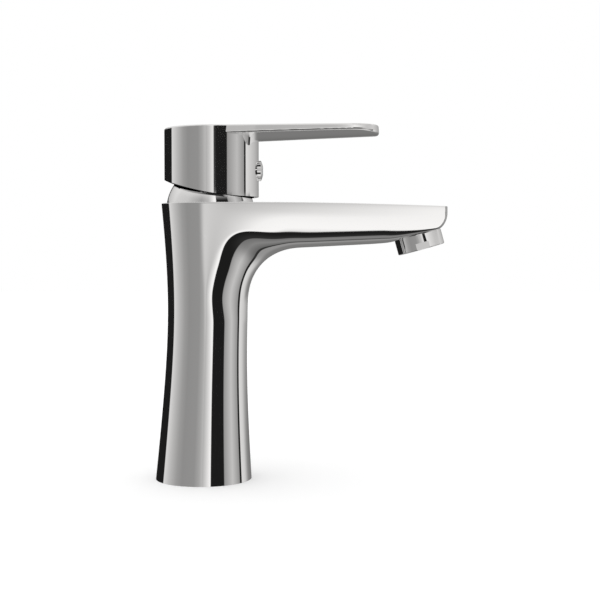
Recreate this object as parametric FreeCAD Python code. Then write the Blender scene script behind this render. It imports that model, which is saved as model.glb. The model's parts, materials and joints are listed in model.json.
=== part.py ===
"""Single-lever basin mixer: cast body with spout, ceramic-disc cartridge, lever handle and aerator.

Millimetres. The origin is the centre of the base on the deck, +X runs out along the spout and +Z is up.
The tap is symmetric about the XZ plane.
"""

import FreeCAD
import Part

import math
import os

V = FreeCAD.Vector
X_AXIS, Y_AXIS, Z_AXIS = V(1, 0, 0), V(0, 1, 0), V(0, 0, 1)

# ---------------------------------------------------------------- driving dimensions

# Column: each side of its outline is a shallow hyperbola, given by its waist.
BACK_WAIST_X, BACK_WAIST_Z, BACK_SLOPE, BACK_SHARP = 18.7, 91.0, 0.115, 4.82
FRONT_WAIST_X, FRONT_WAIST_Z, FRONT_SLOPE, FRONT_SHARP = 23.1, 64.0, 0.070, 3.20
COLUMN_WALL = 3.4
TOP_Z = 145.75  # flat top of the body
BEND_Z = 93.8  # where the front of the column starts to bend into the spout
BEND_RADIUS, BEND_POWER = 28.9, 2.15
# Rounding through the bend at shares of its turn: its depth, and the power of the section
BEND_DEPTHS = [(0.25, 21.64), (0.5, 21.36), (0.75, 10.91)]
BEND_POWERS = [(0.0, 2.0), (0.25, 2.149), (0.5, 1.939), (0.75, 3.048), (1.0, 3.31)]
TOP_FALL_START, TOP_FALL = 28.0, 1.9e-4  # the top falls away as a parabola towards the tip

# Spout, measured from the column's axis line
SPOUT_TIP_X = 128.8
SPOUT_ROOT_Z, SPOUT_RISE = 122.7, 0.0495  # underside height at the end of the bend, and its rise per mm
TURN_Z, TURN_RISE, TURN_CURVE = 130.62, 0.0333, -0.263  # where the sides turn into the underside
ROUND_MIN = 1.03  # least depth of that rounding
SPOUT_POWER, TIP_POWER, TIP_POWER_START = 3.31, 7.92, 0.55  # its power, growing over the last part of the spout
SPOUT_TAPER, TAPER_START = 0.00265, 20.0  # share of the half-width lost per mm, and how softly the taper starts
SIDE_BULGE, SIDE_CURVE, SIDE_BLEND = 1.586, 7.48, 45.0  # the spout's sides are upright at the top and lean in below
SPOUT_WALL = 2.6
SEAT_TILT = 15.5  # degrees between the aerator's axis and the vertical
SEAT_BLEND = 0.5  # softness of the turn in the underside where the aerator's seat starts
BOW_LENGTH, BOW_HEIGHT = 5.3, 7.2  # the tip's underside sweeps up like a ship's bow
CORNER_LENGTH, CORNER_WIDTH = 0.45, 0.45  # rounded corners of the tip in plan
TIP_FACE_RADIUS, TIP_SAG = 60.0, 2.4  # slightly arched front, and how far its corners stand back
TIP_BLEND = 14.0  # length of the spout over which the sections take on the front's arch
LID_Z = TOP_Z + 12  # the sections close above the top face and are cut to it
SECTION_STEPS = 8

# Handle axis and the pivot of the lever
AXIS_X = 3.8
PIVOT_Z = 147.0

# Cartridge seat in the body
BLOCK_BOTTOM_Z, FLOOR_Z = 100.0, 112.0
CHAMBER_R, CHAMBER_TOP_Z = 18.9, 126.0
SEAT_R, THREAD_START_Z = 17.7, 137.0
NUT_THREAD_R = 18.6
COLLAR_R, COLLAR_TOP_Z = 19.8, 150.75

# Connections under the body
INLET_X, INLET_Y, INLET_R, INLET_DEPTH = 6.0, 8.6, 4.5, 9.0
STUD_X, STUD_R, STUD_DEPTH = -9.0, 3.4, 10.0

# Cartridge
PORT_OFFSET, PORT_R, MIXED_R = 5.3, 2.7, 3.6  # hot and cold ports, each way from the axis; mixed port in the centre
FOOT_R, FOOT_SEAL = 4.4, 1.2
PEG_R, PEG_OFFSET, PEG_DEPTH = 1.6, 9.0, 2.0
HOUSING_R, HOUSING_BORE = 17.5, 15.6
PLATE_BOTTOM_Z, PLATE_TOP_Z = 117.0, 121.0
SEAL_TOP_Z, FIXED_TOP_Z, MOVING_TOP_Z = 121.8, 125.3, 129.3
CARRIAGE_TOP_Z, SHOULDER_Z, NECK_TOP_Z = 137.5, 142.0, 151.0
NECK_R, ROTOR_R = 14.4, 12.1
DISC_BACK = 2.34  # the sliding disc sits this far back when the tap is shut
DISC_R, POCKET_R = 12.9, 4.6
BALL_Z, BALL_R = 134.5, 3.0
PIN_R = 1.5
STEM_SIZE, STEM_TOP_Z = 8.0, 170.0

# Dome over the cartridge nut
DOME_R, DOME_WALL, DOME_DROP, DOME_TOP_Z, DOME_HOLE_R = 23.0, 1.2, 3.05, 157.0, 15.0

# Handle
CAP_BACK_X, CAP_WIDEST_X, CAP_FRONT_X, CAP_HALF_WIDTH, CAP_WALL = -20.2, 2.2, 29.45, 24.0, 1.7
CAP_BOTTOM_X, CAP_BOTTOM_Z, CAP_BOTTOM_R = 24.0, 149.2, 114.0  # lowest point and radius of the curved lower edge
HANDLE_TOP_Z, HANDLE_RISE = 185.1, 0.0155  # top face at the axis, and its rise per mm towards the tip
RIM_ROUND, LEVER_UNDER_ROUND = 0.7, 1.0
LEVER_ROOT_X, LEVER_HALF_WIDTH = 10.0, 21.8  # where the lever is widest
LEVER_TIP_X, LEVER_NARROWING, LEVER_END = 92.8, 2.4, 16.0  # width lost by the end's start; length of the rounded end
LEVER_THICK, LEVER_THINNING = 7.25, 0.0283  # in the middle
LEVER_CROWN_R = 86.0  # the underside is crowned across its width
LEVER_DRAFT, DRAFT_Z = 3.0, 183.0  # degrees that the lever's edge leans in upwards, and where its width is measured
CAVITY_TOP_Z, BOSS_R, BOSS_BOTTOM_Z = 180.0, 9.0, 160.0
BUSH_SIZE = 11.0
SCREW_Z, SCREW_R, SCREW_LENGTH, SCREW_BOSS_R = 163.1, 2.5, 9.0, 5.0
PLUG_R, PLUG_SEAT_X, PLUG_FACE_X, PLUG_SHANK_R, INDEX_R = 5.3, 28.5, 31.9, 4.2, 2.6

# Aerator, about its own axis: z = 0 is the seat under the spout and the outlet points down
AERATOR_X, AERATOR_Z = 113.5, 129.3
AERATOR_R, AERATOR_FLATS, AERATOR_FLAT_HEIGHT, AERATOR_DROP = 12.5, 24.0, 3.6, 7.8
AERATOR_THREAD_R, AERATOR_THREAD_TOP, AERATOR_BORE = 11.9, 7.6, 10.4
WASHER_THICK = 1.2

OUT = "parts"


# ---------------------------------------------------------------- small helpers

def cylinder(radius, low, high, x=0.0, y=0.0):
    """Upright cylinder from z = low to z = high."""
    return Part.makeCylinder(radius, high - low, V(x, y, low))


def ring(outer, inner, low, high, x=0.0, y=0.0):
    """Upright tube or washer."""
    return cylinder(outer, low, high, x, y).cut(cylinder(inner, low - 1, high + 1, x, y))


def block(x0, x1, half_y, low, high):
    """Box centred on the XZ plane."""
    return Part.makeBox(x1 - x0, 2 * half_y, high - low, V(x0, -half_y, low))


def rod_x(radius, x0, x1, z):
    """Cylinder along X on the centre plane."""
    return Part.makeCylinder(radius, x1 - x0, V(x0, 0, z), X_AXIS)


def prism_y(points, half_y):
    """Closed outline in the XZ plane, as edges or points, extruded both ways along Y."""
    wire = points if isinstance(points, Part.Wire) else Part.makePolygon([V(x, 0, z) for x, z in points + points[:1]])
    wire.translate(V(0, -half_y, 0))
    return Part.Face(wire).extrude(V(0, 2 * half_y, 0))


def hexagon(across_flats, low, high, x=0.0):
    """Upright hexagonal bar."""
    radius = across_flats / math.sqrt(3)
    corners = [V(x + radius * math.cos(math.radians(60 * k)), radius * math.sin(math.radians(60 * k)), low)
               for k in range(7)]
    return Part.Face(Part.makePolygon(corners)).extrude(V(0, 0, high - low))


def union(shapes):
    """All shapes as one, with the seams between them removed."""
    return shapes[0].multiFuse(shapes[1:]).removeSplitter()


def save(name, shape):
    """One STEP per node, and a line saying what it holds."""
    solids = shape.Solids
    ok = shape.isValid() and all(s.isClosed() for s in solids)
    shape = solids[0] if len(solids) == 1 else Part.makeCompound(solids)
    shape.exportStep(f"{OUT}/{name}.step")
    print(f"{name:18s} solids {len(solids)}  volume {sum(s.Volume for s in solids):9.1f}  {'ok' if ok else 'BAD'}")


# ---------------------------------------------------------------- body

def side(z, waist_x, waist_z, slope, sharp):
    """Distance of one side of the column's outline at height z."""
    return waist_x + math.hypot(slope * (z - waist_z), sharp) - sharp


def through(knots, at):
    """Value at this position of a smooth curve through (position, value) knots."""
    last = len(knots) - 1
    slopes = []
    for k in range(last + 1):
        before, after = knots[max(k - 1, 0)], knots[min(k + 1, last)]
        slopes.append((after[1] - before[1]) / (after[0] - before[0]))
    k = max([i for i in range(last) if knots[i][0] <= at] or [0])
    length = knots[k + 1][0] - knots[k][0]
    u = (at - knots[k][0]) / length
    ends = knots[k][1] * (1 + 2 * u) * (1 - u) ** 2 + knots[k + 1][1] * (3 - 2 * u) * u * u
    return ends + length * u * (1 - u) * (slopes[k] * (1 - u) - slopes[k + 1] * u)


def column(z):
    """(axis x, radius) of the column at height z."""
    back = side(z, BACK_WAIST_X, BACK_WAIST_Z, BACK_SLOPE, BACK_SHARP)
    front = side(z, FRONT_WAIST_X, FRONT_WAIST_Z, FRONT_SLOPE, FRONT_SHARP)
    return (front - back) / 2, (front + back) / 2


BEND_AXIS_X, BEND_COLUMN_R = column(BEND_Z)
BEND_X = BEND_AXIS_X + BEND_COLUMN_R + BEND_RADIUS  # the bend turns about (BEND_X, BEND_Z)


def back_radius(z):
    """Radius of the column above the bend, where its axis stays put and the back follows its outline."""
    return BEND_AXIS_X + side(z, BACK_WAIST_X, BACK_WAIST_Z, BACK_SLOPE, BACK_SHARP)


def top_height(x):
    """Height of the body's top face."""
    return TOP_Z - TOP_FALL * max(0.0, x - TOP_FALL_START) ** 2


def keel(x):
    """Height of the middle of the spout's underside with the aerator's seat, but without the bow."""
    straight = SPOUT_ROOT_Z + SPOUT_RISE * (x - BEND_X)
    seat = AERATOR_Z + (x - AERATOR_X) * math.tan(math.radians(SEAT_TILT))
    return (straight + seat + math.hypot(straight - seat, SEAT_BLEND)) / 2


def bow(x):
    """How far the underside has swept up towards the tip."""
    share = min(1.0, max(0.0, 1 - (SPOUT_TIP_X - x) / BOW_LENGTH))
    return BOW_HEIGHT * (1 - math.sqrt(1 - share * share))


def round_depth(x, low):
    """Depth of the rounding between the spout's underside and its sides."""
    along = x - BEND_X
    depth = TURN_Z + TURN_RISE * along + TURN_CURVE * (along / 70) ** 2 - low
    return (depth + ROUND_MIN + math.hypot(depth - ROUND_MIN, 1)) / 2


def side_width(x, z):
    """Half-width of the plan outline at height z in front of the column's axis."""
    along = max(0.0, x - BEND_AXIS_X)
    share = min(1.0, along / SIDE_BLEND)
    blend = share * share * (3 - 2 * share)
    upright = back_radius(TOP_Z) - SIDE_BULGE * (math.hypot(1, (TOP_Z - z) / SIDE_CURVE) - 1)
    width = back_radius(z) * (1 - blend) + upright * blend
    taper = 1 - SPOUT_TAPER * (math.hypot(along, TAPER_START) - TAPER_START)
    corner = min(0.97, max(0.0, 1 - (SPOUT_TIP_X - TIP_SAG - x) / CORNER_LENGTH))
    return width * taper - CORNER_WIDTH * (1 - math.sqrt(1 - corner * corner))


def plan_width(x, z):
    """Half-width of the plan outline at height z: round behind the axis, closed by a lid above the top face."""
    behind = min(0.0, x - BEND_AXIS_X) / back_radius(z)
    above = max(0.0, (z - TOP_Z - 2) / (LID_Z - TOP_Z - 2))
    return side_width(x, z) * math.sqrt(max(0.0, 1 - behind * behind) * max(0.0, 1 - above * above))


def evenly(points, count):
    """The same line with count equal steps, without its last point."""
    lengths = [0.0]
    for a, b in zip(points, points[1:]):
        lengths.append(lengths[-1] + (b - a).Length)
    picked = []
    k = 0
    for n in range(count):
        target = lengths[-1] * n / count
        while lengths[k + 1] < target:
            k += 1
        share = (target - lengths[k]) / (lengths[k + 1] - lengths[k])
        picked.append(points[k] + (points[k + 1] - points[k]) * share)
    return picked


def loop(half):
    """One half's points and their mirror image, closed; the ends lie on the centre plane."""
    return half + [V(p.x, -p.y, p.z) for p in reversed(half[:-1])]


def skin(sections):
    """Solid with one smooth surface through all the sections, capped flat at both ends."""
    surface = Part.BSplineSurface()
    surface.interpolate(sections)
    side_face = surface.toShape()
    caps = []
    for points in (sections[0], sections[-1]):
        ends = [e for e in side_face.Edges if all((v.Point - points[0]).Length < 1e-4 for v in e.Vertexes)]
        caps.append(Part.Face(Part.Wire(ends)))
    shell = Part.makeShell([side_face] + caps)
    shell.sewShape()
    solid = Part.makeSolid(shell)
    return solid if solid.Volume > 0 else solid.reversed()


def swell(depth, rounding, power):
    """Share of the full width at this depth of a rounding."""
    share = 1 - min(1.0, depth / rounding)
    return (1 - share ** power) ** (1 / power)


def section(place, reach, rounding, power):
    """Section through the points place(depth, width): rounded at its start, then following the plan outline."""
    fine = 400
    near, far = [], []
    for k in range(fine + 1):
        depth = reach * (1 - math.cos(math.pi * k / fine)) / 2
        width = 0.0
        for _ in range(6):
            at = place(depth, width)
            width = plan_width(at.x, at.z) * swell(depth, rounding, power)
        point = V(at.x, width if 0 < k < fine else 0.0, at.z)
        (near if depth <= rounding else far).append(point)
    far.insert(0, near[-1])
    return loop(evenly(near, SECTION_STEPS) + evenly(far, SECTION_STEPS) + [far[-1]])


def column_section(z):
    """Round section of the column."""
    x, radius = column(z)
    angles = [math.pi * k / (2 * SECTION_STEPS) for k in range(2 * SECTION_STEPS + 1)]
    return loop([V(x + radius * math.cos(a), radius * math.sin(a), z) for a in angles])


def bend_section(angle):
    """Section through the bend, on the plane at this angle above the horizontal."""
    turn = math.radians(angle)
    share = angle / 90
    outward = V(-math.cos(turn), 0, math.sin(turn))
    radius = BEND_RADIUS / (math.cos(turn) ** BEND_POWER + math.sin(turn) ** BEND_POWER) ** (1 / BEND_POWER)
    origin = V(BEND_X, 0, BEND_Z) + outward * radius
    near, far = 0.0, 400.0
    for _ in range(60):
        reach = (near + far) / 2
        at = origin + outward * reach
        if at.z < LID_Z and at.x > BEND_AXIS_X - back_radius(at.z):
            near = reach
        else:
            far = reach
    depths = [(0.0, BEND_COLUMN_R)] + BEND_DEPTHS + [(1.0, round_depth(BEND_X, SPOUT_ROOT_Z))]
    rounding, power = through(depths, share), through(BEND_POWERS, share)
    return section(lambda depth, width: origin + outward * depth, near, rounding, power)


def spout_section(x, arch=True):
    """Upright section of the spout; near the tip its sides stand back like the arched front."""
    low = keel(x) + bow(x)
    reach = LID_Z - low
    blend = min(1.0, max(0.0, 1 - (SPOUT_TIP_X - x) / TIP_BLEND)) if arch else 0.0
    late = max(0.0, ((x - BEND_X) / (SPOUT_TIP_X - BEND_X) - TIP_POWER_START) / (1 - TIP_POWER_START))
    power = SPOUT_POWER + (TIP_POWER - SPOUT_POWER) * min(1.0, late)

    def place(depth, width):
        back = TIP_FACE_RADIUS - math.sqrt(TIP_FACE_RADIUS ** 2 - width ** 2)
        at = x - back * blend * blend * (3 - 2 * blend)
        bottom = keel(at) + bow(at + back)
        return V(at, 0, bottom + (LID_Z - bottom) * depth / reach)

    return section(place, reach, round_depth(x, low), power)


def circle_wire(z, radius, x):
    return Part.Wire(Part.makeCircle(radius, V(x, 0, z)))


def outer_body():
    """The casting's outside, solid all through and cut to its top face."""
    sections = [column_section(z) for z in (0.0, 8.0, 22.0, 44.0, 64.0, 80.0)]
    sections += [bend_section(angle) for angle in (14, 23, 30, 35, 39, 43, 48, 56, 66, 78, 90)]
    sections += [spout_section(x) for x in (62.0, 72.0, 82.0, 90.0, 95.0, 98.0, 101.0, 105.0, 110.0, 115.0)]
    backs = (9.0, 6.5, 5.0, 4.0, 3.2, 2.4, 1.7, 1.0, 0.5, 0.2, 0.05)
    sections += [spout_section(SPOUT_TIP_X - back) for back in backs]
    whole = skin(sections + [spout_section(SPOUT_TIP_X + 1.5, False)])
    far = SPOUT_TIP_X + 20
    fall = [TOP_FALL_START + (far - TOP_FALL_START) * k / 4 for k in range(5)]
    curve = Part.BSplineCurve()
    curve.interpolate([V(x, 0, top_height(x)) for x in fall])
    lid = LID_Z + 5
    over = Part.Wire([
        Part.makeLine(V(-40, 0, TOP_Z), V(TOP_FALL_START, 0, TOP_Z)), curve.toShape(),
        Part.makeLine(V(far, 0, top_height(far)), V(far, 0, lid)),
        Part.makeLine(V(far, 0, lid), V(-40, 0, lid)), Part.makeLine(V(-40, 0, lid), V(-40, 0, TOP_Z))])
    whole = whole.cut(prism_y(over, 40))
    beyond = block(SPOUT_TIP_X - 12, SPOUT_TIP_X + 5, 35, 100, LID_Z)
    return whole.cut(beyond.cut(cylinder(TIP_FACE_RADIUS, 90, LID_Z + 5, SPOUT_TIP_X - TIP_FACE_RADIUS)))


def oval_wire(x, half_y, low, high):
    """Rounded opening on the plane at x."""
    curve = Part.BSplineCurve()
    points = []
    for k in range(16):
        angle = 2 * math.pi * k / 16
        c, s = math.cos(angle), math.sin(angle)
        points.append(V(x, half_y * math.copysign(abs(c) ** 0.6, c),
                        (low + high) / 2 + (high - low) / 2 * math.copysign(abs(s) ** 0.6, s)))
    curve.interpolate(points, PeriodicFlag=True)
    return Part.Wire(curve.toShape())


def aerator_frame(shape):
    """From the aerator's own axis, pointing down, to its place under the spout."""
    shape.rotate(V(0, 0, 0), Y_AXIS, -SEAT_TILT)
    shape.translate(V(AERATOR_X, 0, AERATOR_Z))
    return shape


def hollows():
    """Everything that is cut out of the casting, as separate tools."""
    levels = [-1.0] + [BLOCK_BOTTOM_Z * k / 5 for k in range(1, 6)]
    tools = [Part.makeLoft([circle_wire(z, column(z)[1] - COLUMN_WALL, column(z)[0]) for z in levels], True)]
    # cartridge seat
    tools.append(cylinder(CHAMBER_R, FLOOR_Z, CHAMBER_TOP_Z, AXIS_X))
    tools.append(cylinder(SEAT_R, FLOOR_Z, THREAD_START_Z, AXIS_X))
    tools.append(cylinder(NUT_THREAD_R, THREAD_START_Z, COLLAR_TOP_Z + 1, AXIS_X))
    # spout channel and its way out of the chamber
    channel = []
    for x in (30.0, 50.0, 70.0, 90.0, 108.0):
        low = keel(x) + SPOUT_WALL + (1.6 if x > 31 else 6.0)
        channel.append(oval_wire(x, side_width(x, 135.0) - SPOUT_WALL - 1.2, low, top_height(x) - SPOUT_WALL))
    tools.append(Part.makeLoft(channel, True))
    tools.append(Part.makeCylinder(4.2, 16.0, V(19.0, 0, 121.0), V(1, 0, 0.85)))
    tools.append(aerator_frame(cylinder(AERATOR_THREAD_R + 0.1, -AERATOR_DROP, AERATOR_THREAD_TOP + WASHER_THICK)))
    # connections
    for y in (-1, 1):
        tools.append(cylinder(INLET_R, BLOCK_BOTTOM_Z - 1, BLOCK_BOTTOM_Z + INLET_DEPTH, INLET_X, y * INLET_Y))
        mouth = BLOCK_BOTTOM_Z + INLET_DEPTH - 1
        tools.append(cylinder(PORT_R, mouth, FLOOR_Z + 1, AXIS_X + PORT_OFFSET, y * PORT_OFFSET))
    tools.append(cylinder(STUD_R, BLOCK_BOTTOM_Z - 1, BLOCK_BOTTOM_Z + STUD_DEPTH, STUD_X))
    for x, y in pegs():
        tools.append(cylinder(PEG_R + 0.05, FLOOR_Z - PEG_DEPTH, FLOOR_Z + 1, x, y))
    # groove for the base seal
    tools.append(ring(24.2, 22.4, -1, 1.8))
    return tools


def body():
    collar = ring(COLLAR_R, NUT_THREAD_R, TOP_Z - 2, COLLAR_TOP_Z, AXIS_X)
    collar = collar.cut(ring(COLLAR_R + 1, COLLAR_R - 0.6, 147.3, 149.3, AXIS_X))
    shape = outer_body().fuse(collar)
    for tool in hollows():
        shape = shape.cut(tool)
    return shape


def base_seal():
    return ring(24.1, 22.5, 0, 1.8)


# ---------------------------------------------------------------- cartridge

def inlet_ports():
    """(x, y) of the hot and the cold port."""
    return [(AXIS_X + PORT_OFFSET, -PORT_OFFSET), (AXIS_X + PORT_OFFSET, PORT_OFFSET)]


def pegs():
    """(x, y) of the two pegs that keep the cartridge from turning."""
    return [(AXIS_X - PEG_OFFSET, -PEG_OFFSET), (AXIS_X - PEG_OFFSET, PEG_OFFSET)]


def pierce(shape, low, high):
    """Hot, cold and mixed-water ports through a plate."""
    for x, y in inlet_ports():
        shape = shape.cut(cylinder(PORT_R, low - 1, high + 1, x, y))
    return shape.cut(cylinder(MIXED_R, low - 1, high + 1, AXIS_X))


def cartridge_base():
    plate = cylinder(HOUSING_R - 0.2, PLATE_BOTTOM_Z, PLATE_TOP_Z, AXIS_X)
    feet = [cylinder(FOOT_R, FLOOR_Z + FOOT_SEAL, PLATE_BOTTOM_Z, x, y) for x, y in inlet_ports()]
    stops = [cylinder(PEG_R, FLOOR_Z - PEG_DEPTH, PLATE_BOTTOM_Z, x, y) for x, y in pegs()]
    return pierce(union([plate] + feet + stops), FLOOR_Z, PLATE_TOP_Z)


def inlet_seals():
    return Part.makeCompound([ring(FOOT_R, PORT_R + 0.2, FLOOR_Z, FLOOR_Z + FOOT_SEAL, x, y) for x, y in inlet_ports()])


def disc_seal():
    return pierce(cylinder(HOUSING_BORE - 0.6, PLATE_TOP_Z, SEAL_TOP_Z, AXIS_X), PLATE_TOP_Z, SEAL_TOP_Z)


def fixed_disc():
    return pierce(cylinder(HOUSING_BORE - 0.3, SEAL_TOP_Z, FIXED_TOP_Z, AXIS_X), SEAL_TOP_Z, FIXED_TOP_Z)


def cartridge_housing():
    tube = ring(HOUSING_R, HOUSING_BORE, PLATE_TOP_Z, SHOULDER_Z - 2, AXIS_X)
    shoulder = ring(HOUSING_R, ROTOR_R + 0.1, SHOULDER_Z - 2, SHOULDER_Z, AXIS_X)
    neck = ring(NECK_R, ROTOR_R + 0.1, SHOULDER_Z, NECK_TOP_Z, AXIS_X)
    shape = union([tube, shoulder, neck])
    return shape.cut(ring(HOUSING_R + 1, HOUSING_R - 1.3, 129.0, 131.4, AXIS_X))


def housing_o_ring():
    return Part.makeTorus(16.95, 0.72, V(AXIS_X, 0, 130.2))


def rotor():
    flange = cylinder(HOUSING_BORE - 0.4, CARRIAGE_TOP_Z + 0.4, SHOULDER_Z - 2.2, AXIS_X)
    turret = cylinder(ROTOR_R, CARRIAGE_TOP_Z + 0.4, NECK_TOP_Z + 0.4, AXIS_X)
    shape = union([flange, turret])
    shape = shape.cut(block(AXIS_X - 7.0, AXIS_X + 8.2, 3.15, CARRIAGE_TOP_Z - 1, NECK_TOP_Z + 2))
    return shape.cut(Part.makeCylinder(PIN_R, 60, V(AXIS_X, -30, PIVOT_Z), Y_AXIS))


def pivot_pin():
    return Part.makeCylinder(PIN_R, 23, V(AXIS_X, -11.5, PIVOT_Z), Y_AXIS)


def stem():
    ball = Part.makeSphere(BALL_R, V(AXIS_X, 0, BALL_Z))
    shank = block(AXIS_X - 1.7, AXIS_X + 1.7, 2.2, BALL_Z, PIVOT_Z - 3)
    eye = block(AXIS_X - 3.4, AXIS_X + 3.4, 3.0, PIVOT_Z - 4, 155.0)
    square = block(AXIS_X - STEM_SIZE / 2, AXIS_X + STEM_SIZE / 2, STEM_SIZE / 2, 154.4, STEM_TOP_Z)
    shape = union([ball, shank, eye, square])
    return shape.cut(Part.makeCylinder(PIN_R + 0.05, 20, V(AXIS_X, -10, PIVOT_Z), Y_AXIS))


def carriage():
    shape = cylinder(DISC_R, MOVING_TOP_Z, CARRIAGE_TOP_Z, AXIS_X - DISC_BACK)
    pocket = block(AXIS_X - BALL_R - 0.1, AXIS_X + BALL_R + 0.1, BALL_R + 0.4, BALL_Z - BALL_R - 0.3, CARRIAGE_TOP_Z + 1)
    return shape.cut(pocket)


def moving_disc():
    """Sliding disc, with the round pocket that lets the ports run together when it comes over them."""
    shape = cylinder(DISC_R, FIXED_TOP_Z, MOVING_TOP_Z, AXIS_X - DISC_BACK)
    return shape.cut(cylinder(POCKET_R, FIXED_TOP_Z - 1, FIXED_TOP_Z + 2, AXIS_X))


def cartridge_nut():
    thread = cylinder(NUT_THREAD_R - 0.1, SHOULDER_Z, 149.6, AXIS_X)
    shape = union([thread, hexagon(30.0, 149.6, 153.4, AXIS_X)])
    return shape.cut(cylinder(NECK_R + 0.3, SHOULDER_Z - 1, 160, AXIS_X))


def limit_ring():
    shape = ring(NECK_R - 0.1, ROTOR_R + 0.4, NECK_TOP_Z, NECK_TOP_Z + 1.6, AXIS_X)
    teeth = [block(0, 0.9, 0.7, NECK_TOP_Z + 0.8, NECK_TOP_Z + 2) for _ in range(24)]
    for k, tooth in enumerate(teeth):
        tooth.translate(V(NECK_R - 0.6, 0, 0))
        tooth.rotate(V(0, 0, 0), Z_AXIS, 15 * k)
        tooth.translate(V(AXIS_X, 0, 0))
    return shape.cut(Part.makeCompound(teeth))


def dome_cover():
    centre = V(AXIS_X, 0, TOP_Z - DOME_DROP)
    slab = cylinder(40, TOP_Z, DOME_TOP_Z, AXIS_X)
    shell = Part.makeSphere(DOME_R, centre).common(slab)
    inner = Part.makeSphere(DOME_R - DOME_WALL, centre).common(cylinder(40, TOP_Z - 1, DOME_TOP_Z - DOME_WALL, AXIS_X))
    return shell.cut(inner).cut(cylinder(DOME_HOLE_R, TOP_Z, DOME_TOP_Z + 1, AXIS_X))


def dome_o_ring():
    return Part.makeTorus(20.15, 0.88, V(AXIS_X, 0, 148.3))


# ---------------------------------------------------------------- handle

def cap_prism(wall, low, high):
    """Upright prism on the cap's plan less a wall: two half ellipses, the front one longer."""
    centre, edge = V(CAP_WIDEST_X, 0, low), V(CAP_WIDEST_X, CAP_HALF_WIDTH - wall, low)
    back = Part.Ellipse(edge, V(CAP_BACK_X + wall, 0, low), centre)
    front = Part.Ellipse(V(CAP_FRONT_X - wall, 0, low), edge, centre)
    halves = [Part.ArcOfEllipse(back, 0, math.pi), Part.ArcOfEllipse(front, -math.pi / 2, math.pi / 2)]
    return Part.Face(Part.Wire([half.toShape() for half in halves])).extrude(V(0, 0, high - low))


def lever_half_width(x):
    """Half-width of the lever in plan: a slow parabola, then a rounded end."""
    start = LEVER_TIP_X - LEVER_END
    width = LEVER_HALF_WIDTH - LEVER_NARROWING * ((x - LEVER_ROOT_X) / (start - LEVER_ROOT_X)) ** 2
    share = max(0.0, (x - start) / LEVER_END)
    return width * (1 - share ** 2.3) ** (1 / 2.3)


def lever_plan(height):
    """Outline of the lever on the plane that height(x) gives; its edge leans in upwards."""
    start = LEVER_TIP_X - LEVER_END
    along = [AXIS_X, 22.0, 42.0, 60.0, start]
    round_end = [start + LEVER_END * math.sin(math.radians(a)) for a in (18, 32, 45, 57, 68, 78, 90)]
    edge = []
    for x in along + round_end:
        share = max(0.0, (x - start) / LEVER_END)
        grow = (DRAFT_Z - height(x)) * math.tan(math.radians(LEVER_DRAFT))
        out = x + grow * share
        edge.append(V(out, lever_half_width(x) * (1 + grow / LEVER_HALF_WIDTH), height(out)))
    curve = Part.BSplineCurve()
    curve.interpolate(edge + [V(p.x, -p.y, p.z) for p in reversed(edge[:-1])])
    return Part.Wire([curve.toShape(), Part.makeLine(V(AXIS_X, -edge[0].y, edge[0].z), edge[0])])


def lever():
    """Paddle: its outline with a slight draft, cut to its tapering thickness with a crowned underside."""
    blank = Part.makeLoft([lever_plan(lambda x: 170.0), lever_plan(top_of_handle)], True, True)
    slope = HANDLE_RISE + LEVER_THINNING
    low = top_of_handle(-40) - LEVER_THICK - LEVER_THINNING * (40 + AXIS_X)
    return blank.common(Part.makeCylinder(LEVER_CROWN_R, 160, V(-40, 0, low + LEVER_CROWN_R), V(1, 0, slope)))


def top_of_handle(x):
    return HANDLE_TOP_Z + HANDLE_RISE * (x - AXIS_X)


def on_top(edge):
    """True for the edges of the handle's top face."""
    return all(abs(point.z - top_of_handle(point.x)) < 0.05 for point in edge.discretize(9))


def under_lever(edge):
    """True for the outline of the lever's underside."""
    box = edge.BoundBox
    return box.ZMin > CAVITY_TOP_Z and box.ZMax < top_of_handle(LEVER_TIP_X) - RIM_ROUND and box.XMax > 60


def handle_outside():
    """Cap and lever in one piece, rounded at the rim."""
    shape = union([cap_prism(0, 140, 195), lever()])
    above = [(-40, top_of_handle(-40)), (120, top_of_handle(120)), (120, 210), (-40, 210)]
    shape = shape.cut(prism_y(above, 60))
    belly = Part.makeCylinder(CAP_BOTTOM_R, 80, V(CAP_BOTTOM_X, -40, CAP_BOTTOM_Z + CAP_BOTTOM_R), Y_AXIS)
    shape = shape.common(belly).removeSplitter()
    shape = shape.makeFillet(RIM_ROUND, [edge for edge in shape.Edges if on_top(edge)])
    return shape.makeFillet(LEVER_UNDER_ROUND, [edge for edge in shape.Edges if under_lever(edge)])


def handle():
    shape = handle_outside()
    cavity = cap_prism(CAP_WALL, 140, CAVITY_TOP_Z)
    boss = cylinder(BOSS_R, BOSS_BOTTOM_Z, CAVITY_TOP_Z + 1, AXIS_X)
    tube = rod_x(SCREW_BOSS_R, AXIS_X, CAP_FRONT_X - 1, SCREW_Z)
    shape = shape.cut(cavity.cut(boss).cut(tube))
    socket = block(AXIS_X - BUSH_SIZE / 2, AXIS_X + BUSH_SIZE / 2, BUSH_SIZE / 2, BOSS_BOTTOM_Z - 4, STEM_TOP_Z + 2)
    shape = shape.cut(socket)
    shape = shape.cut(rod_x(SCREW_R + 0.05, AXIS_X, AXIS_X + STEM_SIZE / 2 + SCREW_LENGTH + 2, SCREW_Z))
    shape = shape.cut(rod_x(PLUG_SHANK_R, AXIS_X + STEM_SIZE / 2 + SCREW_LENGTH, 40, SCREW_Z))
    return shape.cut(rod_x(PLUG_R + 0.1, PLUG_SEAT_X, 40, SCREW_Z))


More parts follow.
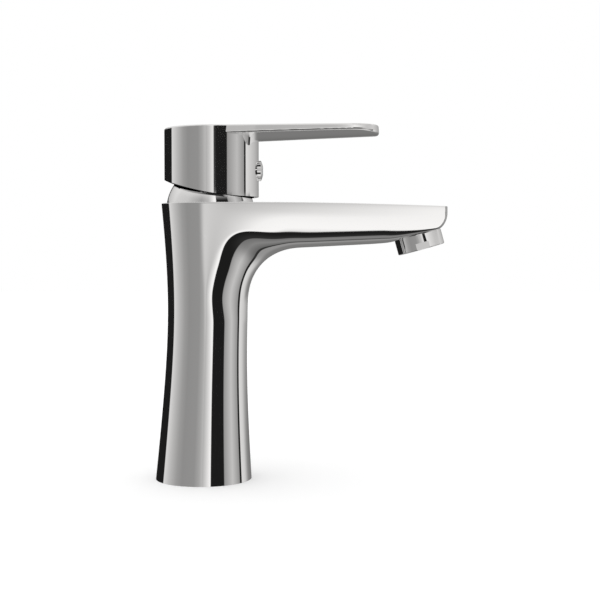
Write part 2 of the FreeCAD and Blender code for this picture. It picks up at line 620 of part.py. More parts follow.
def handle_bush():
    """Square plastic sleeve between the stem and the handle."""
    half, inner = BUSH_SIZE / 2, STEM_SIZE / 2
    shape = block(AXIS_X - half, AXIS_X + half, half, BOSS_BOTTOM_Z, STEM_TOP_Z + 1.5)
    shape = shape.cut(block(AXIS_X - inner, AXIS_X + inner, inner, BOSS_BOTTOM_Z - 1, STEM_TOP_Z))
    return shape.cut(rod_x(SCREW_R + 0.05, AXIS_X, AXIS_X + 10, SCREW_Z))


def set_screw():
    start = AXIS_X + STEM_SIZE / 2
    shape = rod_x(SCREW_R, start, start + SCREW_LENGTH, SCREW_Z)
    key = hexagon(2.5, 0, 3.0)
    key.rotate(V(0, 0, 0), Y_AXIS, 90)
    key.translate(V(start + SCREW_LENGTH - 2.5, 0, SCREW_Z))
    return shape.cut(key)


def index_plug():
    """Domed button on a hollow shank, with a shallow round recess in its face."""
    head = rod_x(PLUG_R, PLUG_SEAT_X, PLUG_FACE_X, SCREW_Z)
    dome_r = 12.0
    head = head.common(Part.makeSphere(dome_r, V(PLUG_FACE_X - dome_r, 0, SCREW_Z)))
    shank = rod_x(PLUG_SHANK_R, PLUG_SEAT_X - 4, PLUG_SEAT_X + 0.5, SCREW_Z).cut(
        rod_x(PLUG_SHANK_R - 0.9, PLUG_SEAT_X - 5, PLUG_SEAT_X + 0.2, SCREW_Z))
    shape = union([head, shank])
    return shape.cut(rod_x(INDEX_R, PLUG_FACE_X - 1.0, PLUG_FACE_X + 1, SCREW_Z))


def index_disc():
    """Small disc set in the plug's face."""
    return rod_x(INDEX_R, PLUG_FACE_X - 1.0, PLUG_FACE_X - 0.25, SCREW_Z)


# ---------------------------------------------------------------- aerator

def aerator_housing():
    shape = union([cylinder(AERATOR_R, -AERATOR_DROP, 0), cylinder(AERATOR_THREAD_R, 0, AERATOR_THREAD_TOP)])
    collar_rim = [e for e in shape.Edges if e.BoundBox.ZMax < -AERATOR_DROP + 0.01 and len(e.Vertexes) == 1]
    shape = shape.makeFillet(0.6, collar_rim)
    half = AERATOR_FLATS / 2
    flats = block(-10, 10, 20, -AERATOR_DROP - 1, -AERATOR_DROP + AERATOR_FLAT_HEIGHT)
    shape = shape.cut(flats.cut(block(-11, 11, half, -20, 20)))
    shape = shape.cut(cylinder(AERATOR_BORE, -AERATOR_DROP + 1.2, AERATOR_THREAD_TOP + 1))
    return aerator_frame(shape.cut(cylinder(AERATOR_BORE - 0.9, -AERATOR_DROP - 1, 0)))


def aerator_washer():
    return aerator_frame(ring(AERATOR_THREAD_R, 9.0, AERATOR_THREAD_TOP, AERATOR_THREAD_TOP + WASHER_THICK))


def holes(count, pitch_radius, radius, low, high):
    """Ring of upright holes."""
    return [cylinder(radius, low, high, pitch_radius * math.cos(2 * math.pi * k / count),
                     pitch_radius * math.sin(2 * math.pi * k / count)) for k in range(count)]


def aerator_insert():
    """Flow cup: a perforated plate with a skirt."""
    low, high, plate = 0.6, AERATOR_THREAD_TOP, 2.0
    shape = ring(AERATOR_BORE - 0.1, AERATOR_BORE - 1.4, low, high - plate)
    shape = union([shape, cylinder(AERATOR_BORE - 0.1, high - plate, high)])
    drilled = holes(12, 7.4, 0.9, high - plate - 1, high + 1) + holes(6, 4.0, 0.9, high - plate - 1, high + 1)
    return aerator_frame(shape.cut(Part.makeCompound(drilled)))


def lattice(pitch, reach):
    """Centres of a hexagonal pattern inside a circle."""
    rows = range(-int(reach / pitch) - 2, int(reach / pitch) + 3)
    points = [(pitch * (i + j / 2), pitch * j * math.sqrt(3) / 2) for i in rows for j in rows]
    return [(x, y) for x, y in points if math.hypot(x, y) <= reach]


def aerator_screen():
    """Coarse strainer that breaks up the jet."""
    low, high = -0.8, 0.6
    shape = cylinder(AERATOR_BORE - 0.1, low, high)
    drilled = [cylinder(0.85, low - 1, high + 1, x, y) for x, y in lattice(2.3, 8.6)]
    return aerator_frame(shape.cut(Part.makeCompound(drilled)))


def aerator_outlet():
    """Honeycomb that straightens the jet."""
    low, high = -AERATOR_DROP + 1.2, -0.8
    shape = cylinder(AERATOR_BORE - 0.1, low, high)
    cells = []
    for x, y in lattice(2.7, 8.2):
        cell = hexagon(2.3, low - 1, high + 1)
        cell.rotate(V(0, 0, 0), Z_AXIS, 30)
        cell.translate(V(x, y, 0))
        cells.append(cell)
    return aerator_frame(shape.cut(Part.makeCompound(cells)))


def main():
    os.makedirs(OUT, exist_ok=True)
    makers = [
        body, base_seal, cartridge_base, inlet_seals, disc_seal, fixed_disc, moving_disc, carriage,
        cartridge_housing, housing_o_ring, rotor, pivot_pin, stem, cartridge_nut, limit_ring, dome_cover,
        dome_o_ring, handle, handle_bush, set_screw, index_plug, index_disc, aerator_housing, aerator_washer,
        aerator_insert, aerator_screen, aerator_outlet]
    for make in makers:
        save(make.__name__, make())


main()
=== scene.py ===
"""Looks of the single-lever basin mixer: chrome casting, studio, camera and materials.

Lengths in the formulas are millimetres in the part's frame and become metres when a mesh is made.
"""

import json
import math

import bmesh
import bpy
import numpy as np
from mathutils.bvhtree import BVHTree
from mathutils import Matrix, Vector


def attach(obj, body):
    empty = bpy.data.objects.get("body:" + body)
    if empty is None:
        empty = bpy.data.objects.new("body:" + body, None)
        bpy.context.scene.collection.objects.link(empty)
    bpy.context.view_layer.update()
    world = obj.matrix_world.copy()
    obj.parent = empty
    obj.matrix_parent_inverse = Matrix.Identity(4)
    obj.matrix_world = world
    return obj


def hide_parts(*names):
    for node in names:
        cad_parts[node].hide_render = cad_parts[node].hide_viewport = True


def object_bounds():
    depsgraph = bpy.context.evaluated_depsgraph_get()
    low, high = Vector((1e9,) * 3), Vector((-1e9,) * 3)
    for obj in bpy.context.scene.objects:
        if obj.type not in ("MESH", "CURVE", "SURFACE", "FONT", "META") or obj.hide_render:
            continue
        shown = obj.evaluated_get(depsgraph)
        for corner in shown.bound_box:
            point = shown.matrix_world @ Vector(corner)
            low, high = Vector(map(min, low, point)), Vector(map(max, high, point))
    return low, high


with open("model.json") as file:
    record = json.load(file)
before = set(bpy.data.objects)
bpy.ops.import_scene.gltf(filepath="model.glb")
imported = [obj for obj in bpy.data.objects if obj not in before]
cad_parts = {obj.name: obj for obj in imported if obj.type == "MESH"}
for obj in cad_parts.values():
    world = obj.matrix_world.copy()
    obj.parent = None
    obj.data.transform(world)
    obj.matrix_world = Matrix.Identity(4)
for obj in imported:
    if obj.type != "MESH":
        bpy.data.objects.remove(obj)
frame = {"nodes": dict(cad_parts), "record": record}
nodes = frame["nodes"]
cad_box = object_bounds()
MM = 0.001


# ---------------------------------------------------------------- node helpers

class Graph:
    """Small wrapper that builds a node tree from plain expressions."""

    def __init__(self, tree):
        self.tree = tree
        tree.nodes.clear()

    def node(self, kind, inputs=None, **settings):
        made = self.tree.nodes.new(kind)
        for name, value in settings.items():
            setattr(made, name, value)
        for name, value in (inputs or {}).items():
            if isinstance(value, bpy.types.NodeSocket):
                self.tree.links.new(value, made.inputs[name])
            else:
                made.inputs[name].default_value = value
        return made

    def math(self, operation, a, b=0.0):
        return self.node("ShaderNodeMath", {0: a, 1: b}, operation=operation).outputs[0]

    def smooth(self, value, low, high):
        """0 below low, 1 above high, smooth between."""
        made = self.node("ShaderNodeMapRange", {0: value, 1: low, 2: high}, interpolation_type="SMOOTHSTEP")
        return made.outputs[0]

    def mix(self, share, a, b):
        made = self.node("ShaderNodeMix", data_type="RGBA")
        for socket, value in ((made.inputs[0], share), (made.inputs[6], a), (made.inputs[7], b)):
            if isinstance(value, bpy.types.NodeSocket):
                self.tree.links.new(value, socket)
            else:
                socket.default_value = value
        return made.outputs[2]

    def ramp(self, value, cards):
        """Colour ramp through (angle in degrees, grey level 0-255) cards; the value 1 is half a turn."""
        made = self.node("ShaderNodeValToRGB", {0: value})
        elements = made.color_ramp.elements
        while len(elements) < len(cards):
            elements.new(0.5)
        for element, (angle, level) in zip(elements, cards):
            element.position = angle / 180
            element.color = grey(level)
        return made.outputs[0]


WARMTH = 0.012


def grey(level):
    """Linear colour of a display grey (sRGB, 0-255), a touch warm."""
    share = level / 255
    linear = share / 12.92 if share <= 0.04045 else ((share + 0.055) / 1.055) ** 2.4
    return (linear * (1 + WARMTH), linear, linear * (1 - WARMTH), 1.0)


# ---------------------------------------------------------------- studio

CAMERA_AT = (0.05125, -0.6286, 0.1198)
LENS, SENSOR = 71.16, 36.0
PITCH = 2.26939  # degrees that the camera looks down

# What the chrome mirrors, by the angle in degrees between the mirrored direction and -Y, which is fixed in
# the part's frame: white and black cards on the spout's side, and below
FRONT_CARDS = [(0, 188), (8, 222), (14, 246), (19.5, 252), (20.5, 28), (53, 28), (54.5, 150), (77, 196),
               (98, 150), (100, 145), (100.7, 26), (107, 26), (108, 222), (125, 205), (150, 165), (180, 138)]
# the same cards as they stand a little higher up, where the handle mirrors them
CAP_CARDS = [(0, 188), (6, 215), (11, 244), (14.6, 250), (15.2, 28), (42, 28), (43, 150), (66, 190),
             (84, 150), (85.8, 145), (86.4, 26), (91, 26), (92, 222), (115, 200), (150, 165), (180, 138)]
# an even softbox above them
SOFTBOX = [(0, 190), (10, 205), (22, 240), (50, 215), (75, 196), (110, 205), (150, 175), (180, 150)]
# behind the dome
DOME_CARDS = [(0, 188), (20, 160), (60, 200), (110, 214), (148, 190), (160, 60), (180, 30)]
# and behind the column
BACK_CARDS = [(0, 188), (8, 166), (20, 146), (50, 143), (65, 156), (85, 186), (105, 214), (108, 216),
              (109, 28), (178, 30)]

# Where one set of cards gives way to the next: z of the mirrored direction, from and to
CAP_FROM, SOFTBOX_FROM, LOW_AGAIN_FROM, DOME_FROM = (0.044, 0.052), (0.112, 0.122), (0.24, 0.28), (0.11, 0.15)
DIP = (0.06, 0.30)  # how far down a direction points before that turns it away from -Y
STRIP_BACK, STRIP_DOWN, STRIP_SHARE = (0.5, 0.8), (0.04, 0.14), 0.5
FALLOFF_UP, FALLOFF_FRONT, FALLOFF_GREY, FALLOFF_SHARE = (-0.14, 0.04), (0.93, 0.98), 140, 0.28
FLOOR_DOWN, FLOOR_SHARE = (0.35, 0.95), 0.62
DARK_GREY = 60  # of the strip and the floor side
SEAM = (0.3, 0.7)
CEILING_UP, CEILING_GREY = (0.35, 0.85), 226
CEILING_BACK, CEILING_DROP = (0.0, 0.3), 0.2
ROOM_LIGHT = (1.22, 1.22, 1.22, 1)  # what the floor and the dull materials are lit by
BACKDROP = (1.0, 1.0, 1.0, 1)
NEVER_ZERO = 0.0001


def build_world():
    world = bpy.data.worlds.new("studio")
    bpy.context.scene.world = world
    world.use_nodes = True
    g = Graph(world.node_tree)
    direction = g.node("ShaderNodeSeparateXYZ", {0: g.node("ShaderNodeTexCoord").outputs["Generated"]})
    x, y, z = direction.outputs
    front = g.math("MULTIPLY", y, -1.0)
    down = g.math("MAXIMUM", g.math("MULTIPLY", z, -1.0), 0.0)
    dip = g.math("MULTIPLY", down, g.smooth(down, *DIP))
    across = g.math("SQRT", g.math("ADD", g.math("MULTIPLY", x, x), g.math("MULTIPLY", dip, dip)))
    front_turn = g.math("DIVIDE", g.math("ARCTAN2", across, front), math.pi)
    back_turn = g.math("DIVIDE", g.math("ARCTAN2", g.math("ABSOLUTE", x), front), math.pi)
    low, cap, box = [g.ramp(front_turn, cards) for cards in (FRONT_CARDS, CAP_CARDS, SOFTBOX)]
    column, dome = [g.ramp(back_turn, cards) for cards in (BACK_CARDS, DOME_CARDS)]
    behind = g.mix(g.smooth(z, *DOME_FROM), column, dome)
    ahead = g.mix(g.smooth(z, *CAP_FROM), low, cap)
    ahead = g.mix(g.smooth(z, *SOFTBOX_FROM), ahead, box)
    ahead = g.mix(g.smooth(z, *LOW_AGAIN_FROM), ahead, low)
    # a darker strip low at the back, which the undersides mirror
    strip = g.math("MULTIPLY", g.smooth(y, *STRIP_BACK), g.smooth(down, *STRIP_DOWN))
    ahead = g.mix(g.math("MULTIPLY", strip, STRIP_SHARE), ahead, grey(DARK_GREY))
    # straight towards -Y it is greyer from the horizon up
    falloff = g.math("MULTIPLY", g.smooth(z, *FALLOFF_UP), g.smooth(front, *FALLOFF_FRONT))
    ahead = g.mix(g.math("MULTIPLY", falloff, FALLOFF_SHARE), ahead, grey(FALLOFF_GREY))
    # the floor side is darker than the walls
    shade = g.smooth(down, *FLOOR_DOWN)
    ahead = g.mix(shade, ahead, g.mix(FLOOR_SHARE, ahead, grey(DARK_GREY)))
    # behind the column where x < 0, with a soft seam below
    backward = g.math("MAXIMUM", g.math("MULTIPLY", x, -1.0), 0.0)
    lean = g.math("DIVIDE", backward, g.math("ADD", g.math("ADD", backward, down), NEVER_ZERO))
    cards = g.mix(g.smooth(lean, *SEAM), ahead, behind)
    # an even soft ceiling, lower at the back
    height = g.math("ADD", z, g.math("MULTIPLY", g.smooth(y, *CEILING_BACK), CEILING_DROP))
    cards = g.mix(g.smooth(height, *CEILING_UP), cards, grey(CEILING_GREY))
    rays = g.node("ShaderNodeLightPath")
    lit = g.mix(rays.outputs["Is Glossy Ray"], ROOM_LIGHT, cards)
    seen = g.mix(rays.outputs["Is Camera Ray"], lit, BACKDROP)
    background = g.node("ShaderNodeBackground", {"Color": seen, "Strength": 1.0})
    g.node("ShaderNodeOutputWorld", {"Surface": background.outputs[0]})


def build_floor():
    half = 3.0
    corners = [(-half, -half, 0), (half, -half, 0), (half, half, 0), (-half, half, 0)]
    mesh = bpy.data.meshes.new("floor")
    mesh.from_pydata(corners, [], [(0, 1, 2, 3)])
    floor = bpy.data.objects.new("floor", mesh)
    bpy.context.scene.collection.objects.link(floor)
    material = bpy.data.materials.new("floor_paper")
    material.use_nodes = True
    g = Graph(material.node_tree)
    shader = g.node("ShaderNodeBsdfDiffuse", {"Color": (0.92, 0.92, 0.92, 1)})
    g.node("ShaderNodeOutputMaterial", {"Surface": shader.outputs[0]})
    mesh.materials.append(material)
    floor.visible_glossy = False


def build_camera():
    data = bpy.data.cameras.new("camera")
    data.lens, data.sensor_width = LENS, SENSOR
    camera = bpy.data.objects.new("camera", data)
    bpy.context.scene.collection.objects.link(camera)
    camera.location = CAMERA_AT
    camera.rotation_euler = (math.radians(90 - PITCH), 0, 0)
    bpy.context.scene.camera = camera
    bpy.context.scene.view_settings.view_transform = "Standard"


# ---------------------------------------------------------------- materials

def principled(name, build):
    """New node material: build(graph) returns the shader's inputs."""
    material = bpy.data.materials.new(name)
    material.use_nodes = True
    g = Graph(material.node_tree)
    shader = g.node("ShaderNodeBsdfPrincipled", build(g))
    g.node("ShaderNodeOutputMaterial", {"Surface": shader.outputs[0]})
    return material


def noise(g, scale, detail=3.0):
    """Noise in the part's own frame; scale is in features per metre."""
    place = g.node("ShaderNodeTexCoord").outputs["Object"]
    return g.node("ShaderNodeTexNoise", {"Vector": place, "Scale": scale, "Detail": detail}).outputs[0]


def chrome(g):
    """Polished plating; its roughness wanders a little, as the noise goes from 0.35 to 0.75."""
    haze = g.node("ShaderNodeMapRange", {0: noise(g, 45.0), 1: 0.35, 2: 0.75, 3: 0.018, 4: 0.045}).outputs[0]
    return {"Base Color": (0.955, 0.955, 0.955, 1), "Metallic": 1.0, "Roughness": haze}


def machined(color, roughness):
    """Turned or milled metal with fine tool marks."""
    def build(g):
        marks = noise(g, 900.0, 2.0)
        rough = g.node("ShaderNodeMapRange", {0: marks, 3: roughness * 0.7, 4: roughness * 1.3}).outputs[0]
        normal = g.node("ShaderNodeBump", {"Strength": 0.15, "Distance": 0.00003, "Height": marks}).outputs[0]
        return {"Base Color": color, "Metallic": 1.0, "Roughness": rough, "Normal": normal}
    return build


def moulded(color, roughness, grain=1500.0, depth=0.00002):
    """Plastic, rubber or ceramic: a little colour variation and a fine grain."""
    def build(g):
        patches = noise(g, 180.0)
        darker = tuple(c * 0.86 for c in color[:3]) + (1,)
        tone = g.mix(patches, darker, color)
        rough = g.node("ShaderNodeMapRange", {0: patches, 3: roughness * 0.85, 4: roughness * 1.15}).outputs[0]
        fine = noise(g, grain, 2.0)
        normal = g.node("ShaderNodeBump", {"Strength": 0.3, "Distance": depth, "Height": fine}).outputs[0]
        return {"Base Color": tone, "Roughness": rough, "Normal": normal}
    return build


FINISHES = {
    "chrome_plate": chrome,
    "index_enamel": moulded((0.42, 0.44, 0.47, 1), 0.25),
    "seal_rubber": moulded((0.025, 0.025, 0.027, 1), 0.6),
    "cartridge_plastic": moulded((0.82, 0.82, 0.79, 1), 0.38),
    "rotor_plastic": moulded((0.045, 0.048, 0.052, 1), 0.42),
    "limit_plastic": moulded((0.62, 0.045, 0.03, 1), 0.4),
    "ceramic": moulded((0.86, 0.85, 0.81, 1), 0.12, 2500.0, 0.00001),
    "stem_brass": machined((0.80, 0.62, 0.32, 1), 0.28),
    "nut_brass": machined((0.78, 0.60, 0.31, 1), 0.32),
    "pin_steel": machined((0.62, 0.62, 0.63, 1), 0.25),
    "aerator_plastic": moulded((0.80, 0.81, 0.82, 1), 0.35),
}


def dress_nodes(materials):
    """Every CAD node gets the node material of its slot."""
    for subpart in frame["record"]["subparts"]:
        mesh = nodes[subpart["node"]].data
        mesh.materials.clear()
        mesh.materials.append(materials[subpart["material_slot"]])


# ---------------------------------------------------------------- casting

# Outline of the column: each side is a shallow hyperbola (waist x, waist z, slope, sharpness)
BACK = (18.7, 91.0, 0.115, 4.82)
FRONT = (23.1, 64.0, 0.070, 3.20)
# top face: level, then falling off towards the tip
TOP_Z, TOP_FALL_START, TOP_FALL = 145.75, 28.0, 1.9e-4
# bend under the spout, and its rounding's depth and squareness by share of the quarter turn
BEND_Z, BEND_RADIUS, BEND_POWER = 93.8, 28.9, 2.15
BEND_DEPTHS = [(0.25, 21.64), (0.5, 21.36), (0.75, 10.91)]
BEND_POWERS = [(0.0, 2.0), (0.25, 2.149), (0.5, 1.939), (0.75, 3.048), (1.0, 3.31)]
# spout: underside, turn into the sides, squareness of the turn, plan outline and bulge of the sides
TIP_X, ROOT_Z, RISE = 128.8, 122.7, 0.0495
TURN_Z, TURN_RISE, TURN_CURVE, ROUND_MIN = 130.62, 0.0333, -0.263, 1.03
POWER, TIP_POWER, TIP_POWER_START = 3.31, 7.92, 0.55
TAPER, TAPER_START = 0.00265, 20.0
SIDE_BULGE, SIDE_CURVE, SIDE_BLEND = 1.586, 7.48, 45.0
# aerator's seat, and how near to its hole's middle and plane the skin is left out
AERATOR_X, AERATOR_Z, SEAT_TILT, SEAT_BLEND = 113.5, 129.3, math.radians(15.5), 0.5
SEAT_HOLE, SEAT_HOLE_DEPTH = 11.6, 3
# tip: sweep of the underside, corners in plan and the face's arc
BOW_LENGTH, BOW_HEIGHT, CORNER_LENGTH, CORNER_WIDTH = 5.3, 7.2, 0.45, 0.45
TIP_ARC, TIP_SAG, TIP_BLEND = 60.0, 2.4, 14.0
# Faces of the CAD body nearer to the skin than WALL_MM, and along it by ALONG, are left out as its outside.
# At 1.7 the hidden walls of the base seal's groove and of the collar's groove go with them; 1.0 keeps them.
WALL_MM, ALONG = 1.7, 0.6
COLLAR_X, COLLAR_R, COLLAR_WALL = 3.8, 19.8, 0.1  # collar on the top face, round the cartridge
RIM, RIM_LAND = 0.35, 0.25  # radius of the softened top edge, and the level strip inside it
ON_SURFACE = 0.02  # a point this near to a surface lies on it
TURN_WEIGHT = 8.0  # millimetres of line that count as much as a turn of one radian
ACROSS = 88  # points from the front or underside to the back or the rim
SAMPLES, TIP_ROUNDS = 1500, 6  # points worked out for each half-section, and rounds that settle the tip's
FAR, HALVINGS = 200.0, 50  # search for the rim along a ray from the bend
COLUMN_ROWS, BEND_ROWS, RIM_BACK_ROWS, RIM_SIDE_ROWS, SPOUT_ROWS, TIP_ROWS = 70, 56, 44, 56, 86, 30
BRIDGE_BELOW, BRIDGE_ROWS = 8, 22  # rows from the column into the bend that cubics replace
SOFTEN_BEFORE, SOFTEN_AFTER, SOFTEN_SPREAD = 45, 60, 5  # rows averaged where the bend meets the spout
RIM_STEPS, RUNGS = 6, 65  # points round the rim's edge, and from side to side of the top and the tip
SHARP = 35.0  # degrees between faces that stay a sharp edge
MERGE, DEGENERATE = 2e-6, 1e-7  # metres


def side(z, profile):
    waist_x, waist_z, slope, sharp = profile
    return waist_x + np.hypot(slope * (z - waist_z), sharp) - sharp


AXIS = (side(BEND_Z, FRONT) - side(BEND_Z, BACK)) / 2
COLUMN_R = (side(BEND_Z, FRONT) + side(BEND_Z, BACK)) / 2
BEND_X = AXIS + COLUMN_R + BEND_RADIUS


def back_radius(z):
    return AXIS + side(z, BACK)


def top_height(x):
    return TOP_Z - TOP_FALL * np.maximum(0.0, x - TOP_FALL_START) ** 2


def keel(x):
    """Middle of the spout's underside with the aerator's seat, but without the bow."""
    straight = ROOT_Z + RISE * (x - BEND_X)
    seat = AERATOR_Z + (x - AERATOR_X) * math.tan(SEAT_TILT)
    return (straight + seat + np.hypot(straight - seat, SEAT_BLEND)) / 2


def bow(x):
    """How far the underside has swept up towards the tip."""
    share = np.clip(1 - (TIP_X - x) / BOW_LENGTH, 0, 1)
    return BOW_HEIGHT * (1 - np.sqrt(1 - share * share))


def through(knots, at):
    """Value at this position of a smooth curve through (position, value) knots."""
    where, value = np.array(knots).T
    last = len(knots) - 1
    before, after = np.maximum(np.arange(last + 1) - 1, 0), np.minimum(np.arange(last + 1) + 1, last)
    slopes = (value[after] - value[before]) / (where[after] - where[before])
    k = max(int(np.searchsorted(where, at, side="right")) - 1, 0)
    k = min(k, last - 1)
    length = where[k + 1] - where[k]
    u = (at - where[k]) / length
    ends = value[k] * (1 + 2 * u) * (1 - u) ** 2 + value[k + 1] * (3 - 2 * u) * u * u
    return ends + length * u * (1 - u) * (slopes[k] * (1 - u) - slopes[k + 1] * u)


def round_depth(x, low):
    """Depth of the rounding between the spout's underside and its sides."""
    along = x - BEND_X
    depth = TURN_Z + TURN_RISE * along + TURN_CURVE * (along / 70) ** 2 - low
    return (depth + ROUND_MIN + np.hypot(depth - ROUND_MIN, 1)) / 2


def plan_width(x, z):
    """Half-width in plan at height z: round behind the column's axis, tapering along the spout."""
    along = np.maximum(0.0, x - AXIS)
    share = np.minimum(1.0, along / SIDE_BLEND)
    blend = share * share * (3 - 2 * share)
    upright = back_radius(TOP_Z) - SIDE_BULGE * (np.hypot(1, (TOP_Z - z) / SIDE_CURVE) - 1)
    width = back_radius(z) * (1 - blend) + upright * blend
    taper = 1 - TAPER * (np.hypot(along, TAPER_START) - TAPER_START)
    corner = np.clip(1 - (TIP_X - TIP_SAG - x) / CORNER_LENGTH, 0, 0.97)
    behind = np.clip((x - AXIS) / back_radius(z), -1, 0)
    return (width * taper - CORNER_WIDTH * (1 - np.sqrt(1 - corner * corner))) * np.sqrt(1 - behind * behind)


def evenly(points, count):
    """The same line with count points, evenly spaced but closer together where it turns."""
    steps = np.diff(points, axis=0)
    size = np.maximum(np.linalg.norm(steps, axis=1), 1e-12)
    along = steps / size[:, None]
    turn = np.arccos(np.clip((along[1:] * along[:-1]).sum(axis=1), -1, 1))
    lengths = np.concatenate([[0], np.cumsum(size + TURN_WEIGHT * np.concatenate([turn[:1], turn]))])
    places = np.linspace(0, lengths[-1], count)
    return np.stack([np.interp(places, lengths, points[:, k]) for k in range(3)], axis=1)


def half_section(origin, outward, reach, depth, power, sag=0.0):
    """Half a section: rounded at the origin over this depth, then following the plan outline."""
    share = (1 - np.cos(np.linspace(0, math.pi, SAMPLES))) / 2
    t = reach * np.where(share < 0.5, 2 * share * share, share)  # finer at the rounded end
    swell = np.clip(1 - (1 - np.minimum(t / depth, 1.0)) ** power, 0, 1) ** (1 / power)
    x, z = origin[0] + outward[0] * t, origin[1] + outward[1] * t
    y = plan_width(x, z) * swell
    for _ in range(TIP_ROUNDS if sag else 0):
        back = TIP_ARC - np.sqrt(TIP_ARC ** 2 - y * y)
        x = origin[0] - sag * back
        low = keel(x) + bow(x + back)
        z = low + (top_height(x) - RIM - low) * t / reach
        rounding = round_depth(x, low)
        swell = np.clip(1 - (1 - np.minimum((z - low) / rounding, 1.0)) ** power, 0, 1) ** (1 / power)
        y = plan_width(x, z) * swell
    y[0] = 0.0
    return evenly(np.stack([x, y, z], axis=1), ACROSS)


def column_half(z):
    middle = (side(z, FRONT) - side(z, BACK)) / 2
    radius = (side(z, FRONT) + side(z, BACK)) / 2
    turn = np.linspace(0, math.pi, ACROSS)
    x, y = middle + radius * np.cos(turn), radius * np.abs(np.sin(turn))
    return np.stack([x, y, np.full(ACROSS, z)], axis=1)


def bend_half(turn):
    """Half-section on the ray that leaves the bend's centre at this angle above the horizontal."""
    share = turn / (math.pi / 2)
    c, s = math.cos(turn), math.sin(turn)
    radius = BEND_RADIUS / (c ** BEND_POWER + s ** BEND_POWER) ** (1 / BEND_POWER)
    origin = (BEND_X - c * radius, BEND_Z + s * radius)
    near, far = 0.0, FAR
    for _ in range(HALVINGS):
        reach = (near + far) / 2
        x, z = origin[0] - c * reach, origin[1] + s * reach
        inside = z < top_height(x) - RIM and x > AXIS - back_radius(z)
        near, far = (reach, far) if inside else (near, reach)
    depths = [(0.0, COLUMN_R)] + BEND_DEPTHS + [(1.0, round_depth(BEND_X, ROOT_Z))]
    return half_section(origin, (-c, s), near, through(depths, share), through(BEND_POWERS, share))


def spout_half(x):
    blend = np.clip(1 - (TIP_X - x) / TIP_BLEND, 0, 1)
    low = keel(x) + bow(x)
    sag = blend * blend * (3 - 2 * blend) + 1e-9
    late = max(0.0, ((x - BEND_X) / (TIP_X - BEND_X) - TIP_POWER_START) / (1 - TIP_POWER_START))
    power = POWER + (TIP_POWER - POWER) * late
    return half_section((x, low), (0, 1), top_height(x) - RIM - low, round_depth(x, low), power, sag)


def bridge(rows, start, end):
    """Redo the rows between these two as cubics that run on smoothly from the rows outside them."""
    gap = np.linalg.norm(rows[end] - rows[start], axis=1)[:, None]
    leave, arrive = rows[start] - rows[start - 1], rows[end + 1] - rows[end]
    leave = leave / np.linalg.norm(leave, axis=1)[:, None] * gap
    arrive = arrive / np.linalg.norm(arrive, axis=1)[:, None] * gap
    low, high = rows[start], rows[end]
    for k in range(start + 1, end):
        u = (k - start) / (end - start)
        ends = low * (1 + 2 * u) * (1 - u) ** 2 + high * (3 - 2 * u) * u * u
        rows[k] = ends + u * (1 - u) * (leave * (1 - u) - arrive * u)


def softened(rows, start, end, spread):
    """Rows between these two averaged with their neighbours along the casting, fading out at both ends."""
    kernel = np.exp(-0.5 * (np.arange(-3 * spread, 3 * spread + 1) / spread) ** 2)
    kernel /= kernel.sum()
    smooth = [sum(w * rows[k + d - 3 * spread] for d, w in enumerate(kernel)) for k in range(start, end)]
    for k, row in zip(range(start, end), smooth):
        share = min(1.0, (k - start) / (3 * spread), (end - k) / (3 * spread))
        rows[k] = rows[k] * (1 - share) + row * share


def casting_halves():
    """Half-sections from the base to the tip, and the number of the first one that ends on the top rim."""
    halves = [column_half(z) for z in np.linspace(0, BEND_Z, COLUMN_ROWS)[:-1]]
    foot = len(halves) - BRIDGE_BELOW
    rim_z = TOP_Z - RIM
    corner = math.atan2(rim_z - BEND_Z, BEND_X - AXIS + back_radius(rim_z))
    halves += [bend_half(turn) for turn in np.linspace(0, corner, BEND_ROWS)[:-1]]
    first = len(halves)
    bridge(halves, foot, foot + BRIDGE_ROWS)
    rim_x = AXIS - back_radius(rim_z) * np.cos(np.linspace(0, math.pi / 2, RIM_BACK_ROWS))
    rim_x = np.concatenate([rim_x, np.linspace(AXIS, BEND_X, RIM_SIDE_ROWS)[1:-1]])
    halves += [bend_half(math.atan2(rim_z - BEND_Z, BEND_X - x)) for x in rim_x]
    straight = len(halves)
    halves += [spout_half(x) for x in np.linspace(BEND_X, TIP_X - BOW_LENGTH, SPOUT_ROWS)[:-1]]
    softened(halves, straight - SOFTEN_BEFORE, straight + SOFTEN_AFTER, SOFTEN_SPREAD)
    sweep = np.linspace(0, math.pi / 2, TIP_ROWS)
    halves += [spout_half(TIP_X - BOW_LENGTH * (1 - math.sin(t))) for t in sweep]
    return halves, first


def rim_rows(rows, first):
    """The rim's rounding from the wall into the top face: rows of points from the wall inwards."""
    wall = rows[first:, -1]
    along = np.gradient(wall[:, :2], axis=0)
    along[0] = (0, 1)
    along /= np.linalg.norm(along, axis=1)[:, None]
    out = np.stack([-along[:, 1], along[:, 0]], axis=1)
    made = []
    for turn in np.linspace(0, math.pi / 2, RIM_STEPS)[1:]:
        inward = RIM * (1 - math.cos(turn))
        made.append(np.column_stack([wall[:, :2] - out * inward, wall[:, 2] + RIM * math.sin(turn)]))
    last = made[-1]
    made.append(np.column_stack([last[:, :2] - out * RIM_LAND, last[:, 2]]))
    return np.stack(made, axis=1)


class Skin:
    """Collects points and quads; mesh_object merges the points that coincide."""

    def __init__(self):
        self.points, self.faces = [], []

    def grid(self, rows, flip=False):
        """Quads between neighbouring rows of points."""
        start = len(self.points)
        count = len(rows[0])
        for row in rows:
            self.points.extend(map(tuple, row))
        for i in range(len(rows) - 1):
            for k in range(count - 1):
                a = start + i * count + k
                quad = (a, a + count, a + count + 1, a + 1)
                self.faces.append(quad[::-1] if flip else quad)

    def mirrored(self, rows):
        rows = np.asarray(rows)
        self.grid(rows)
        self.grid(rows * (1, -1, 1), True)


